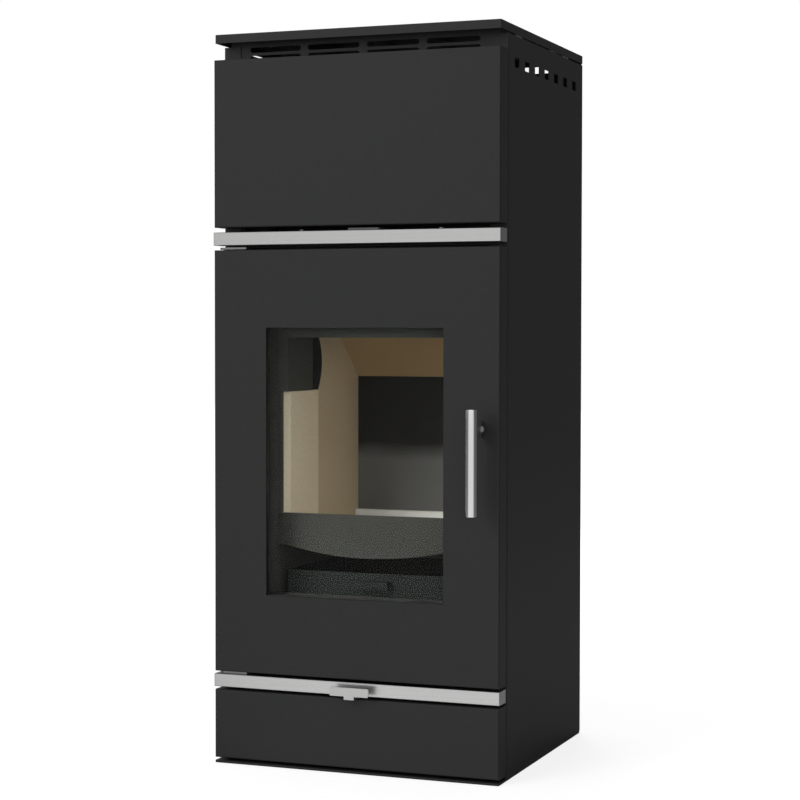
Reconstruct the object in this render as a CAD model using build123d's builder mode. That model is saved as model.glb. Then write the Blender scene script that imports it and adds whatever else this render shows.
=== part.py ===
from build123d import *
import math
import os

# Boiler stove. Millimetres, +Z up, front towards -Y, right-hand side +X.
# Origin: middle of the base plate's underside.
# Depths are counted backwards from the front faces of the three front panels.

os.makedirs("parts", exist_ok=True)

# Casing: overall width, depth and sheet
body_w = 474.0
body_d = 441.0
sheet = 1.5
panel_sheet = 2.0
bend = 2.5
fit_gap = 0.3

# Heights, from the floor up, as a chain
base_t = 3.5
base_gap = 4.7
lower_panel_h = 108.6
lever_gap = 4.7
trim_h = 20.5
door_gap_low = 4.0
door_h = 665.8
door_gap_top = 7.4
tab_gap = 7.6
upper_panel_h = 262.5
grille_band_h = 26.6
top_plate_h = 13.6
top_plate_t = 3.0
top_plate_setback = 4.2

lower_panel_z = base_t + base_gap
lower_trim_z = lower_panel_z + lower_panel_h + lever_gap
door_z = lower_trim_z + trim_h + door_gap_low
upper_trim_z = door_z + door_h + door_gap_top
upper_panel_z = upper_trim_z + trim_h + tab_gap
top_skirt_z = upper_panel_z + upper_panel_h + grille_band_h
top_z = top_skirt_z + top_plate_h
top_under_z = top_z - top_plate_t
side_top_gap = 2.6
side_top_z = top_skirt_z - side_top_gap

# Depths, from the front faces back, as a chain
panel_depth = 33.0
casing_gap = 5.0
flange_w = 29.0
rear_flange_w = 18.0
rail_depth = 14.5
front_plate_t = 6.0
lining_setback = 9.0

casing_d = panel_depth + casing_gap
rail_d = casing_d + sheet
front_plate_d = rail_d + rail_depth
shell_d = front_plate_d + front_plate_t
lining_d = shell_d + lining_setback
rear_panel_d = body_d - sheet

# Trim bars
trim_sheet = 1.5
trim_depth = 30.0
trim_proud = 1.0
trim_overhang = 0.8

# Window, door frame, glass and seals
window_side = 89.7
window_h = 419.8
window_rise = 124.2
reveal_depth = 10.0
glass_t = 4.0
glass_lap = 11.0
glass_seal_t = 2.0
frame_bearing_gap = 1.2
door_frame_back = 45.0
rope_w = 10.0
rope_inset = 13.0
rope_groove = 5.0
window_z = door_z + window_rise
glass_rest = 0.2
window_w = body_w - 2 * window_side
glass_d = reveal_depth + glass_rest
door_frame_d = glass_d + glass_t + glass_seal_t

# Hinges
pivot_inset = 12.0
pivot_depth = 18.0
pin_r = 4.0
pin_fit = 0.05
hinge_plate_t = 3.0
hinge_block_h = 30.0
hinge_block_w = 22.0
hinge_washer_t = 0.8

# Handle and latch
handle_bar_r = 8.5
handle_bar_l = 159.5
handle_reach = 47.0
handle_inset = 28.8
handle_rise = 391.7
handle_above = 31.2
bar_round = 0.8
lug_t = 2.6
lug_h = 27.0
shaft_r = 5.0
hook_t = 3.0
hook_l = 22.0
hook_inset = 1.5
hook_rim = 4.0
bearing_w = 24.0
bearing_h = 30.0
hook_h = 8.0
catch_t = 1.5
catch_w = 24.0
catch_lip = 12.0

# Air slides
slide_t = 3.0
grip_w = 64.0
grip_h = 13.5
grip_reach = 18.0
stem_w = 16.6
tab_w = 52.0
tab_setback = 2.0
tab_rest_x = 15.4
primary_travel = 40.0
secondary_travel = 30.0
slide_pin_r = 3.0

# Boiler body
lining_w = 272.0
rear_space = 31.0
brick_t = 30.0
cast_t = 12.0
shell_t = 5.0
water_gap = 35.0
jacket_t = 4.0
wool_space = 27.0
ash_floor_rise = 59.0
hearth_rise = 108.5
opening_over = 10.7
opening_top_drop = 15.5
opening_low_drop = 45.0
shell_roof_rise = 50.0
jacket_low_rise = 60.0
jacket_top_drop = 40.0
duct_depth = 26.0
duct_w = 320.0
duct_sheet = 2.0
tube_r = 28.5
tube_t = 3.0
tube_fit = 0.1
smoke_h = 179.8
tube_columns = 4
tube_rows = 3

hearth_z = window_z + hearth_rise
opening_z0 = window_z - opening_low_drop
opening_z1 = window_z + window_h - opening_top_drop
ash_floor_z = door_z + ash_floor_rise
roof_z = window_z + window_h + shell_roof_rise
jacket_z0 = window_z + jacket_low_rise
jacket_z1 = upper_panel_z + upper_panel_h - jacket_top_drop
shell_x = lining_w / 2 + brick_t
shell_out_x = shell_x + shell_t
jacket_x = body_w / 2 - wool_space
opening_w = window_w + 2 * opening_over
jacket_rear_d = body_d - rear_space
shell_out_d = jacket_rear_d - jacket_t - water_gap
shell_rear_d = shell_out_d - shell_t
lining_rear_d = shell_rear_d - cast_t
lining_depth = lining_rear_d - lining_d
smoke_z = jacket_z1 - smoke_h
duct_z1 = upper_trim_z + trim_h

# Lining and fire grate
front_brick_h = 209.5
front_brick_l = 111.0
brick_joint = 0.4
rear_brick_h = 320.0
rear_brick_lean = 18.0
baffle_angle = 40.0
baffle_l = 150.0
baffle_t = 25.0
baffle_rise = 229.0
guard_rise = 16.8
guard_t = 6.0
guard_end_h = 43.5
guard_mid_h = 68.0
slab_t = 30.0
support_t = 5.0
grate_w = 150.0
grate_l = 170.0
grate_t = 11.0
grate_slots = 9

# Vents
vent_count = 7
vent_l = 23.5
vent_h = 14.8
vent_pitch = 51.8
vent_first = 80.4
vent_drop = 40.3
slot_l = 87.0
slot_h = 8.4
slot_pitch_x = 99.0
slot_pitch_z = 13.0
slot_rows = 3
rear_slot_l = 90.0
rear_slot_h = 11.0
rear_slot_pitch_x = 104.0
rear_slot_pitch_z = 30.0
rear_slot_drop = 18.0

# Connections at the back
flue_r = 75.0
flue_t = 2.5
flue_reach = 53.0
air_r = 50.0
air_t = 2.5
air_reach = 48.0
air_z = 150.0
water_r = 16.62
water_bore = 13.0
water_reach = 33.0
water_inset = 70.0
flow_drop = 40.0
return_rise = 40.0
coil_r = 8.0
coil_t = 1.5
coil_end_r = 10.48
coil_reach = 19.0
coil_inset = 60.0
coil_w = 45.0
coil_drop = 36.0
sensor_r = 14.0
sensor_bore = 9.3
sensor_reach = 13.0
sensor_inset = 118.0
cut_gap = 3.0
neck_step = 1.0
neck_l = 3.0
water_x = jacket_x - water_inset
sensor_x = jacket_x - sensor_inset
coil_x0 = coil_inset - jacket_x
coil_x1 = coil_x0 + coil_w


def back(depth):
    """Y of a plane that lies depth behind the front faces."""
    return depth - body_d / 2


def block(x0, x1, d0, d1, z0, z1, mode=Mode.ADD):
    """A box between two corners, with its depths counted from the front."""
    with Locations(((x0 + x1) / 2, back((d0 + d1) / 2), (z0 + z1) / 2)):
        Box(x1 - x0, d1 - d0, z1 - z0, mode=mode)


def rod(x, z, d0, d1, radius, mode=Mode.ADD):
    """A round bar that runs from front to back."""
    with Locations(Location((x, back((d0 + d1) / 2), z), (90, 0, 0))):
        Cylinder(radius, d1 - d0, mode=mode)


def post(x, d, z0, z1, radius, mode=Mode.ADD):
    """An upright round bar."""
    with Locations((x, back(d), (z0 + z1) / 2)):
        Cylinder(radius, z1 - z0, mode=mode)


def save(piece, name):
    piece.part.label = name
    export_step(piece.part, "parts/" + name + ".step")


def pan(piece, x1, d0, d1, z0, z1, skin, radius):
    """A folded pan, open at the back, with rounded front edges."""
    block(-x1, x1, d0, d1, z0, z1)
    fillet(piece.faces().sort_by(Axis.Y)[0].edges(), radius=radius)
    block(-x1 + skin, x1 - skin, d0 + skin, d1, z0 + skin, z1 - skin, Mode.SUBTRACT)


def pipe_end(x, z, d0, reach, radius, bore):
    """A pipe that leaves through the back: its last stretch is the full radius, after a neck."""
    rod(x, z, d0, body_d + neck_l, radius - neck_step)
    rod(x, z, body_d + neck_l, body_d + reach, radius)
    rod(x, z, d0, body_d + reach, bore, Mode.SUBTRACT)


# Base plate, with bushes for the levelling screws
level_inset_x = 42.0
level_inset_y = 48.0
level_x = body_w / 2 - level_inset_x
level_y = body_d / 2 - level_inset_y
level_r = 5.0
level_bush_r = 9.0
level_bush_h = 12.0
level_over = 8.0
level_head_r = 9.0
level_head_h = 6.0
hex_sides = 6
with BuildPart() as base_plate:
    block(-body_w / 2, body_w / 2, 0, body_d, 0, base_t)
    fillet(base_plate.edges().filter_by(Axis.Z), radius=bend)
    with GridLocations(2 * level_x, 2 * level_y, 2, 2):
        with Locations((0, 0, base_t + level_bush_h / 2)):
            Cylinder(level_bush_r, level_bush_h)
        with Locations((0, 0, (base_t + level_bush_h) / 2)):
            Cylinder(level_r, base_t + level_bush_h, mode=Mode.SUBTRACT)
save(base_plate, "base_plate")

with BuildPart() as levelling_screws:
    with BuildSketch(Plane.XY):
        with GridLocations(2 * level_x, 2 * level_y, 2, 2):
            Circle(level_r - tube_fit)
    extrude(amount=base_t + level_bush_h + level_over)
    with BuildSketch(Plane.XY.offset(base_t + level_bush_h + level_over)):
        with GridLocations(2 * level_x, 2 * level_y, 2, 2):
            RegularPolygon(level_head_r, hex_sides)
    extrude(amount=level_head_h)
save(levelling_screws, "levelling_screws")

# Side panels: folded sheet with a front and a rear flange and a row of vents
hook_side = 16.0
hook_x = body_w / 2 - hook_side
hook_t_rib = 2.0
hook_neck_h = 24.0
hook_h_rib = 40.0
hook_drop = 8.0
hook_slot_w = 3.2
hook_tip = 2.7
hook_low_rise = 40.0
hook_top_drop = 65.0
vent_z = side_top_z - vent_drop
lower_hook_z = [lower_panel_z + lower_panel_h / 2]
upper_hook_z = [upper_panel_z + hook_low_rise, upper_panel_z + upper_panel_h - hook_top_drop]


def side_panel(piece, side):
    outer = body_w / 2
    low = min(side * outer, side * (outer - flange_w))
    high = max(side * outer, side * (outer - flange_w))
    block(low, high, casing_d, rear_panel_d, base_t, side_top_z)
    upright = piece.edges().filter_by(Axis.Z).group_by(Axis.X)
    fillet(upright[-1 if side > 0 else 0], radius=bend)
    low = min(side * (outer - sheet), side * (outer - flange_w))
    high = max(side * (outer - sheet), side * (outer - flange_w))
    block(low, high, rail_d, rear_panel_d - sheet, base_t, side_top_z, Mode.SUBTRACT)
    trim = side * (outer - rear_flange_w)
    edge = side * (outer - flange_w)
    block(min(trim, edge), max(trim, edge), rear_panel_d - sheet, rear_panel_d,
          base_t, side_top_z, Mode.SUBTRACT)
    wall = (outer - 2 * sheet, outer + sheet)
    for index in range(vent_count):
        middle = vent_first + index * vent_pitch
        block(min(side * wall[0], side * wall[1]), max(side * wall[0], side * wall[1]),
              middle - vent_l / 2, middle + vent_l / 2,
              vent_z - vent_h / 2, vent_z + vent_h / 2, Mode.SUBTRACT)
    for z in lower_hook_z + upper_hook_z:
        x = side * hook_x
        block(x - hook_slot_w / 2, x + hook_slot_w / 2, casing_d - 1, rail_d + 1,
              z - hook_neck_h / 2, z + hook_neck_h / 2 + hook_drop + 1, Mode.SUBTRACT)


with BuildPart() as left_side_panel:
    side_panel(left_side_panel, -1)
save(left_side_panel, "left_side_panel")

with BuildPart() as right_side_panel:
    side_panel(right_side_panel, 1)
save(right_side_panel, "right_side_panel")

# Rear panel, with slots at the top and holes for the connections
flue_z = (smoke_z + jacket_z1) / 2
flow_z = jacket_z1 - flow_drop
return_z = jacket_z0 + return_rise
coil_z = jacket_z1 - coil_drop
sensor_z = flow_z
rear_slot_columns = 4
with BuildPart() as rear_panel:
    block(-body_w / 2, body_w / 2, rear_panel_d, body_d, base_t, side_top_z)
    block(-body_w / 2 + sheet, body_w / 2 - sheet, rear_panel_d, body_d,
          side_top_z, top_under_z)
    with BuildSketch(Plane.XZ.offset(-back(rear_panel_d) + sheet)):
        with Locations((0, top_under_z - rear_slot_drop)):
            with Locations((0, -rear_slot_pitch_z / 2)):
                with GridLocations(rear_slot_pitch_x, rear_slot_pitch_z, rear_slot_columns, 2):
                    SlotOverall(rear_slot_l, rear_slot_h)
        with Locations((0, flue_z)):
            Circle(flue_r + cut_gap)
        with Locations((0, air_z)):
            Circle(air_r + cut_gap)
        with Locations((water_x, flow_z), (water_x, return_z)):
            Circle(water_r + cut_gap)
        with Locations((coil_x0, coil_z), (coil_x1, coil_z)):
            Circle(coil_end_r + cut_gap)
        with Locations((sensor_x, sensor_z)):
            Circle(sensor_r + cut_gap)
    extrude(amount=-3 * sheet, mode=Mode.SUBTRACT)
save(rear_panel, "rear_panel")

# Top plate: folded down at the front and the sides
top_round = 1.5
with BuildPart() as top_plate:
    block(-body_w / 2, body_w / 2, top_plate_setback, body_d, top_skirt_z, top_z)
    fillet(top_plate.edges().filter_by(Axis.Z).group_by(Axis.Y)[0], radius=bend)
    fillet(top_plate.faces().sort_by(Axis.Z)[-1].edges(), radius=top_round)
    block(-body_w / 2 + sheet, body_w / 2 - sheet,
          top_plate_setback + sheet, body_d, top_skirt_z, top_under_z, Mode.SUBTRACT)
save(top_plate, "top_plate")

# Brackets that hold the top plate to the side panels, with their bolts
bracket_d = 80.0
bracket_l = 30.0
bracket_z0 = vent_z + vent_h
bracket_leg = 60.0
bracket_t = 2.0
bolt_inset = 52.0
bolt_x = body_w / 2 - bolt_inset
bolt_r = 3.0
bolt_head_r = 6.0
bolt_head_h = 4.5
with BuildPart() as top_brackets:
    for side in (-1, 1):
        for start in (bracket_d, body_d - bracket_d - bracket_l):
            wall = side * (body_w / 2 - sheet)
            block(min(wall, wall - side * bracket_t), max(wall, wall - side * bracket_t),
                  start, start + bracket_l, bracket_z0, top_under_z)
            block(min(wall, wall - side * bracket_leg), max(wall, wall - side * bracket_leg),
                  start, start + bracket_l, top_under_z - bracket_t, top_under_z)
            post(side * bolt_x, start + bracket_l / 2, top_under_z - bracket_t, top_under_z,
                 bolt_r + fit_gap, Mode.SUBTRACT)
save(top_brackets, "top_brackets")

# Front grille below the top plate, behind the flanges of the side panels
grille_inset = 12.0
grille_low = 26.0
grille_drop = 8.4
slot_columns = 4
grille_x = body_w / 2 - grille_inset
grille_z0 = upper_panel_z + upper_panel_h - grille_low
grille_lip = 14.0
grille_row_z = top_skirt_z - grille_drop
with BuildPart() as front_grille:
    block(-grille_x, grille_x, rail_d, rail_d + sheet, grille_z0, top_under_z)
    block(-grille_x, grille_x, rail_d, rail_d + grille_lip, top_under_z - sheet, top_under_z)
    with BuildSketch(Plane.XZ.offset(-back(rail_d) + sheet)):
        with Locations((0, grille_row_z - slot_pitch_z * (slot_rows - 1) / 2)):
            with GridLocations(slot_pitch_x, slot_pitch_z, slot_columns, slot_rows):
                SlotOverall(slot_l, slot_h)
    extrude(amount=-3 * sheet, mode=Mode.SUBTRACT)
save(front_grille, "front_grille")


def hook_ribs(levels):
    """Hooks behind a front panel, hung in the slots of the side panels."""
    for side in (-1, 1):
        for z in levels:
            x0 = side * hook_x - hook_t_rib / 2
            x1 = side * hook_x + hook_t_rib / 2
            top = z + hook_neck_h / 2
            block(x0, x1, panel_sheet / 2, casing_d, z - hook_h_rib / 2, z + hook_h_rib / 2)
            block(x0, x1, casing_d, rail_d + fit_gap, z - hook_neck_h / 2, top)
            block(x0, x1, rail_d + fit_gap, rail_d + fit_gap + hook_tip, z - hook_neck_h / 2 - hook_drop,
                  top)


with BuildPart() as upper_front_panel:
    pan(upper_front_panel, body_w / 2, 0, panel_depth, upper_panel_z,
        upper_panel_z + upper_panel_h, panel_sheet, bend)
    hook_ribs(upper_hook_z)
save(upper_front_panel, "upper_front_panel")

with BuildPart() as lower_front_panel:
    pan(lower_front_panel, body_w / 2, 0, panel_depth, lower_panel_z,
        lower_panel_z + lower_panel_h, panel_sheet, bend)
    hook_ribs(lower_hook_z)
save(lower_front_panel, "lower_front_panel")

# Trim bars: brushed folded channels, and the black rails that carry them
trim_round = 1.5
trim_x = body_w / 2 + trim_overhang
with BuildPart() as upper_trim_bar:
    pan(upper_trim_bar, trim_x, -trim_proud, trim_depth, upper_trim_z, upper_trim_z + trim_h,
        trim_sheet, trim_round)
save(upper_trim_bar, "upper_trim_bar")

with BuildPart() as lower_trim_bar:
    pan(lower_trim_bar, trim_x, -trim_proud, trim_depth, lower_trim_z, lower_trim_z + trim_h,
        trim_sheet, trim_round)
save(lower_trim_bar, "lower_trim_bar")

rail_x = body_w / 2 - sheet
rail_t = 2.0
tab_x = 150.0
tab_half = 16.0
rail_rise = 1.0
rail_drop = 3.0


def cross_rail(z0, z1, trim_z):
    """A folded channel between the side panels, with two tabs into the trim bar."""
    block(-rail_x, rail_x, rail_d, front_plate_d, z0, z1)
    block(-rail_x, rail_x, rail_d + rail_t, front_plate_d - rail_t, z0, z1 - rail_t,
          Mode.SUBTRACT)
    for side in (-1, 1):
        block(side * tab_x - tab_half, side * tab_x + tab_half,
              trim_sheet - trim_proud, rail_d,
              trim_z + trim_sheet + fit_gap, trim_z + trim_h - trim_sheet - fit_gap)


with BuildPart() as upper_cross_rail:
    cross_rail(upper_trim_z - rail_drop, upper_trim_z + trim_h, upper_trim_z)
save(upper_cross_rail, "upper_cross_rail")

with BuildPart() as lower_cross_rail:
    cross_rail(lower_trim_z + rail_rise, lower_trim_z + trim_h, lower_trim_z)
save(lower_cross_rail, "lower_cross_rail")

# Boiler front plate with the fire opening
front_plate_inset = 32.0
opening_round = 8.0
front_plate_x = body_w / 2 - front_plate_inset
with BuildPart() as front_plate:
    block(-front_plate_x, front_plate_x, front_plate_d, shell_d, lower_trim_z + rail_rise, duct_z1)
    with BuildSketch(Plane.XZ.offset(-back(front_plate_d))):
        with Locations((0, (opening_z0 + opening_z1) / 2)):
            RectangleRounded(opening_w, opening_z1 - opening_z0, opening_round)
    extrude(amount=-front_plate_t, mode=Mode.SUBTRACT)
save(front_plate, "front_plate")

# Firebox shell: welded steel box, open at the front, with tube holes in its roof
smoke_setback = 15.0
tube_edge = 19.5
tube_side = 17.5
recess_d = shell_d + duct_depth
smoke_d0 = recess_d + smoke_setback
tube_pitch_x = 2 * (shell_x - tube_side - tube_r) / (tube_columns - 1)
tube_room_d = shell_rear_d - smoke_d0 - shell_t
tube_pitch_d = (tube_room_d - 2 * (tube_r + tube_edge)) / (tube_rows - 1)
tube_mid_d = (smoke_d0 + shell_t + shell_rear_d) / 2
air_slot_w = 120.0
air_slot_l = 14.0
air_slot_d = 150.0
channel_t = 3.0
channel_gap = 0.5
stop_w = 18.0
brick_z1 = hearth_z + front_brick_h
stop_z0 = hearth_z + guard_rise + channel_gap
channel_d1 = lining_d + front_brick_l - rear_brick_lean - channel_t


def tube_circles(radius):
    with Locations((0, back(tube_mid_d))):
        with GridLocations(tube_pitch_x, tube_pitch_d, tube_columns, tube_rows):
            Circle(radius)


def brick_stop(side):
    """A strip before the front brick, and the steel channel over the brick."""
    near = lining_w / 2 + channel_gap
    strip = sorted((side * (shell_x - stop_w), side * shell_x))
    block(strip[0], strip[1], shell_d, lining_d - channel_gap, stop_z0, opening_z1)
    face = sorted((side * near, side * (near + channel_t)))
    block(face[0], face[1], shell_d, channel_d1, brick_z1 + channel_gap, opening_z1)
    front = sorted((side * near, side * shell_x))
    block(front[0], front[1], shell_d, shell_d + channel_t, brick_z1 + channel_gap, opening_z1)


with BuildPart() as firebox_shell:
    block(-shell_out_x, shell_out_x, shell_d, shell_out_d, ash_floor_z, roof_z + shell_t)
    block(-shell_x, shell_x, shell_d, shell_rear_d, ash_floor_z + shell_t, roof_z, Mode.SUBTRACT)
    block(-duct_w / 2, duct_w / 2, shell_d, shell_d + duct_depth, roof_z, roof_z + shell_t,
          Mode.SUBTRACT)
    with BuildSketch(Plane.XY.offset(roof_z)):
        tube_circles(tube_r + tube_fit)
    extrude(amount=shell_t, mode=Mode.SUBTRACT)
    with BuildSketch(Plane.XY.offset(ash_floor_z)):
        with Locations((0, back(air_slot_d))):
            with GridLocations(1, 2 * air_slot_l, 1, 3):
                SlotOverall(air_slot_w, air_slot_l)
    extrude(amount=shell_t, mode=Mode.SUBTRACT)
    brick_stop(-1)
    brick_stop(1)
save(firebox_shell, "firebox_shell")

# Water jacket: outer skin round the firebox and the smoke box, with its ports
clean_w = 220.0
clean_l = 150.0
clean_shift = 15.0
recess_side = 6.0
recess_over = 14.0
clean_d = (recess_d + shell_out_d) / 2 + clean_shift
recess_x = duct_w / 2 + recess_side
recess_z1 = duct_z1 + recess_over
with BuildPart() as water_space:
    block(-jacket_x + jacket_t, jacket_x - jacket_t, shell_d + jacket_t,
          jacket_rear_d - jacket_t, jacket_z0 + jacket_t, jacket_z1 - jacket_t)
    block(-recess_x - jacket_t, recess_x + jacket_t, shell_d, recess_d + jacket_t,
          roof_z, recess_z1 + jacket_t, Mode.SUBTRACT)

with BuildPart() as water_jacket:
    block(-jacket_x, jacket_x, shell_d, jacket_rear_d, jacket_z0, jacket_z1)
    block(-recess_x, recess_x, shell_d, recess_d, roof_z + shell_t, recess_z1, Mode.SUBTRACT)
    add(water_space.part, mode=Mode.SUBTRACT)
    block(-shell_out_x, shell_out_x, shell_d, shell_out_d, jacket_z0, roof_z + shell_t,
          Mode.SUBTRACT)
    block(-clean_w / 2, clean_w / 2, clean_d - clean_l / 2, clean_d + clean_l / 2,
          jacket_z1 - jacket_t, jacket_z1, Mode.SUBTRACT)
    rod(0, flue_z, jacket_rear_d - jacket_t, jacket_rear_d, flue_r - neck_step + tube_fit,
        Mode.SUBTRACT)
    for x, z, radius in ((water_x, flow_z, water_r), (water_x, return_z, water_r),
                         (coil_x0, coil_z, coil_end_r), (coil_x1, coil_z, coil_end_r),
                         (sensor_x, sensor_z, sensor_r)):
        rod(x, z, jacket_rear_d - jacket_t, jacket_rear_d, radius - neck_step + tube_fit,
            Mode.SUBTRACT)
save(water_jacket, "water_jacket")

# Smoke box inside the jacket, over the tubes
with BuildPart() as smoke_box:
    block(-shell_out_x, shell_out_x, smoke_d0, shell_out_d, smoke_z, jacket_z1 - jacket_t)
    block(-shell_x, shell_x, smoke_d0 + shell_t, shell_rear_d, smoke_z + shell_t,
          jacket_z1 - jacket_t, Mode.SUBTRACT)
    rod(0, flue_z, shell_rear_d, shell_out_d, flue_r - neck_step + tube_fit, Mode.SUBTRACT)
    with BuildSketch(Plane.XY.offset(smoke_z)):
        tube_circles(tube_r + tube_fit)
    extrude(amount=shell_t, mode=Mode.SUBTRACT)
save(smoke_box, "smoke_box")

with BuildPart() as exchanger_tubes:
    with BuildSketch(Plane.XY.offset(roof_z)):
        tube_circles(tube_r)
        with Locations((0, back(tube_mid_d))):
            with GridLocations(tube_pitch_x, tube_pitch_d, tube_columns, tube_rows):
                Circle(tube_r - tube_t, mode=Mode.SUBTRACT)
    extrude(amount=smoke_z + shell_t - roof_z)
save(exchanger_tubes, "exchanger_tubes")

# Cleaning cover on the smoke box, its gasket and wing bolts
cover_over = 14.0
cover_t = 4.0
cover_round = 8.0
gasket_t = 2.0
with BuildPart() as cover_gasket:
    block(-clean_w / 2 - cover_over, clean_w / 2 + cover_over,
          clean_d - clean_l / 2 - cover_over, clean_d + clean_l / 2 + cover_over,
          jacket_z1, jacket_z1 + gasket_t)
    block(-clean_w / 2, clean_w / 2, clean_d - clean_l / 2, clean_d + clean_l / 2,
          jacket_z1, jacket_z1 + gasket_t, Mode.SUBTRACT)
save(cover_gasket, "cover_gasket")

with BuildPart() as cleaning_cover:
    block(-clean_w / 2 - cover_over, clean_w / 2 + cover_over,
          clean_d - clean_l / 2 - cover_over, clean_d + clean_l / 2 + cover_over,
          jacket_z1 + gasket_t, jacket_z1 + gasket_t + cover_t)
    fillet(cleaning_cover.edges().filter_by(Axis.Z), radius=cover_round)
save(cleaning_cover, "cleaning_cover")

# Hexagon bolts of the cleaning cover and of the top plate's brackets
cover_top_z = jacket_z1 + gasket_t + cover_t
with BuildPart() as hexagon_bolts:
    with BuildSketch(Plane.XY.offset(cover_top_z)):
        with Locations((0, back(clean_d))):
            with GridLocations(clean_w + cover_over, clean_l + cover_over, 2, 2):
                RegularPolygon(bolt_head_r, hex_sides)
    extrude(amount=bolt_head_h)
    bolt_span_d = body_d - 2 * bracket_d - bracket_l
    with BuildSketch(Plane.XY.offset(top_under_z - bracket_t - bolt_head_h)):
        with Locations((0, back(body_d / 2))):
            with GridLocations(2 * bolt_x, bolt_span_d, 2, 2):
                RegularPolygon(bolt_head_r, hex_sides)
    extrude(amount=bolt_head_h)
    with BuildSketch(Plane.XY.offset(top_under_z - bracket_t)):
        with Locations((0, back(body_d / 2))):
            with GridLocations(2 * bolt_x, bolt_span_d, 2, 2):
                Circle(bolt_r)
    extrude(amount=bracket_t)
save(hexagon_bolts, "hexagon_bolts")

# Flue spigot from the smoke box out through the back
with BuildPart() as flue_spigot:
    pipe_end(0, flue_z, shell_rear_d, flue_reach, flue_r, flue_r - flue_t)
save(flue_spigot, "flue_spigot")

with BuildPart() as water_nipples:
    for z in (flow_z, return_z):
        pipe_end(water_x, z, jacket_rear_d - jacket_t, water_reach, water_r, water_bore)
save(water_nipples, "water_nipples")

with BuildPart() as sensor_socket:
    pipe_end(sensor_x, sensor_z, jacket_rear_d - jacket_t, sensor_reach, sensor_r, sensor_bore)
save(sensor_socket, "sensor_socket")

# Thermal safety coil: a loop of tube in the water behind the smoke box
coil_h = 90.0
coil_turn = 14.0
coil_bend = 22.0
coil_d = shell_out_d + water_gap / 2
coil_low_z = coil_z - coil_h
with BuildPart() as safety_coil:
    with BuildLine() as coil_path:
        end_y = back(body_d + coil_reach)
        coil_y = back(coil_d)
        FilletPolyline(
            (coil_x0, end_y, coil_z),
            (coil_x0, coil_y, coil_z),
            (coil_x0, coil_y, coil_low_z),
            (coil_x1, coil_y, coil_low_z),
            (coil_x1, coil_y, coil_z),
            (coil_x1, end_y, coil_z),
            radius=[coil_turn, coil_bend, coil_bend, coil_turn],
        )
    with BuildSketch(Plane(origin=(coil_x0, end_y, coil_z), z_dir=(0, -1, 0))):
        Circle(coil_r)
    sweep()
    for x in (coil_x0, coil_x1):
        pipe_end(x, coil_z, jacket_rear_d - jacket_t, coil_reach, coil_end_r, coil_r - coil_t)
save(safety_coil, "safety_coil")

# Insulation boards on the jacket
wool_t = 15.0
wool_setback = 30.0
wool_drop = 10.0
wool_d0 = rail_d + wool_setback
wool_z1 = jacket_z1 - wool_drop


def wool_side(side):
    near = side * jacket_x
    far = side * (jacket_x + wool_t)
    block(min(near, far), max(near, far), wool_d0, jacket_rear_d, jacket_z0, wool_z1)


with BuildPart() as side_insulation:
    wool_side(-1)
    wool_side(1)
save(side_insulation, "side_insulation")

# Airwash duct behind the front plate, with slots on top for the secondary air
duct_slots = 3
duct_slot_l = 30.0
duct_slot_w = 12.0
duct_slot_pitch = 64.0
duct_rise = 3.0
duct_z0 = opening_z1 + duct_rise
slide_fit = 0.4
head_t = 2.0
head_over = 2.5
duct_mid_d = shell_d + duct_depth / 2
secondary_pin_x = 118.0
with BuildPart() as airwash_duct:
    block(-duct_w / 2, duct_w / 2, shell_d, shell_d + duct_depth, duct_z0, duct_z1)
    block(-duct_w / 2 + duct_sheet, duct_w / 2 - duct_sheet, shell_d,
          shell_d + duct_depth - duct_sheet, duct_z0, duct_z1 - duct_sheet, Mode.SUBTRACT)
    with BuildSketch(Plane.XY.offset(duct_z1 - duct_sheet)):
        with Locations((0, back(duct_mid_d))):
            with GridLocations(duct_slot_pitch, 1, duct_slots, 1):
                Rectangle(duct_slot_l, duct_slot_w)
    extrude(amount=duct_sheet, mode=Mode.SUBTRACT)
save(airwash_duct, "airwash_duct")

# Secondary air slide on the duct, with the tab that shows under the upper panel
slide_end = 8.0
slide_margin = 3.0
tab_round = 3.0
upper_slide_z = duct_z1 + slide_fit
slide_slot = slide_pin_r + slide_fit
with BuildPart() as secondary_air_slide:
    block(-secondary_pin_x - slide_end, secondary_pin_x + secondary_travel + slide_end,
          shell_d + slide_margin, shell_d + duct_depth - slide_margin,
          upper_slide_z, upper_slide_z + slide_t)
    block(tab_rest_x - tab_w / 2, tab_rest_x + tab_w / 2, tab_setback, shell_d + 2 * slide_margin,
          upper_slide_z, upper_slide_z + slide_t)
    fillet(secondary_air_slide.edges().filter_by(Axis.Z).group_by(Axis.Y)[0], radius=tab_round)
    with BuildSketch(Plane.XY.offset(upper_slide_z)):
        with Locations((0, back(duct_mid_d))):
            with GridLocations(duct_slot_pitch, 1, duct_slots, 1):
                Rectangle(duct_slot_l, duct_slot_w)
        with Locations((-secondary_pin_x + secondary_travel / 2, back(duct_mid_d)),
                       (secondary_pin_x + secondary_travel / 2, back(duct_mid_d))):
            SlotOverall(secondary_travel + 2 * slide_slot, 2 * slide_slot)
    extrude(amount=slide_t, mode=Mode.SUBTRACT)
save(secondary_air_slide, "secondary_air_slide")

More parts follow.
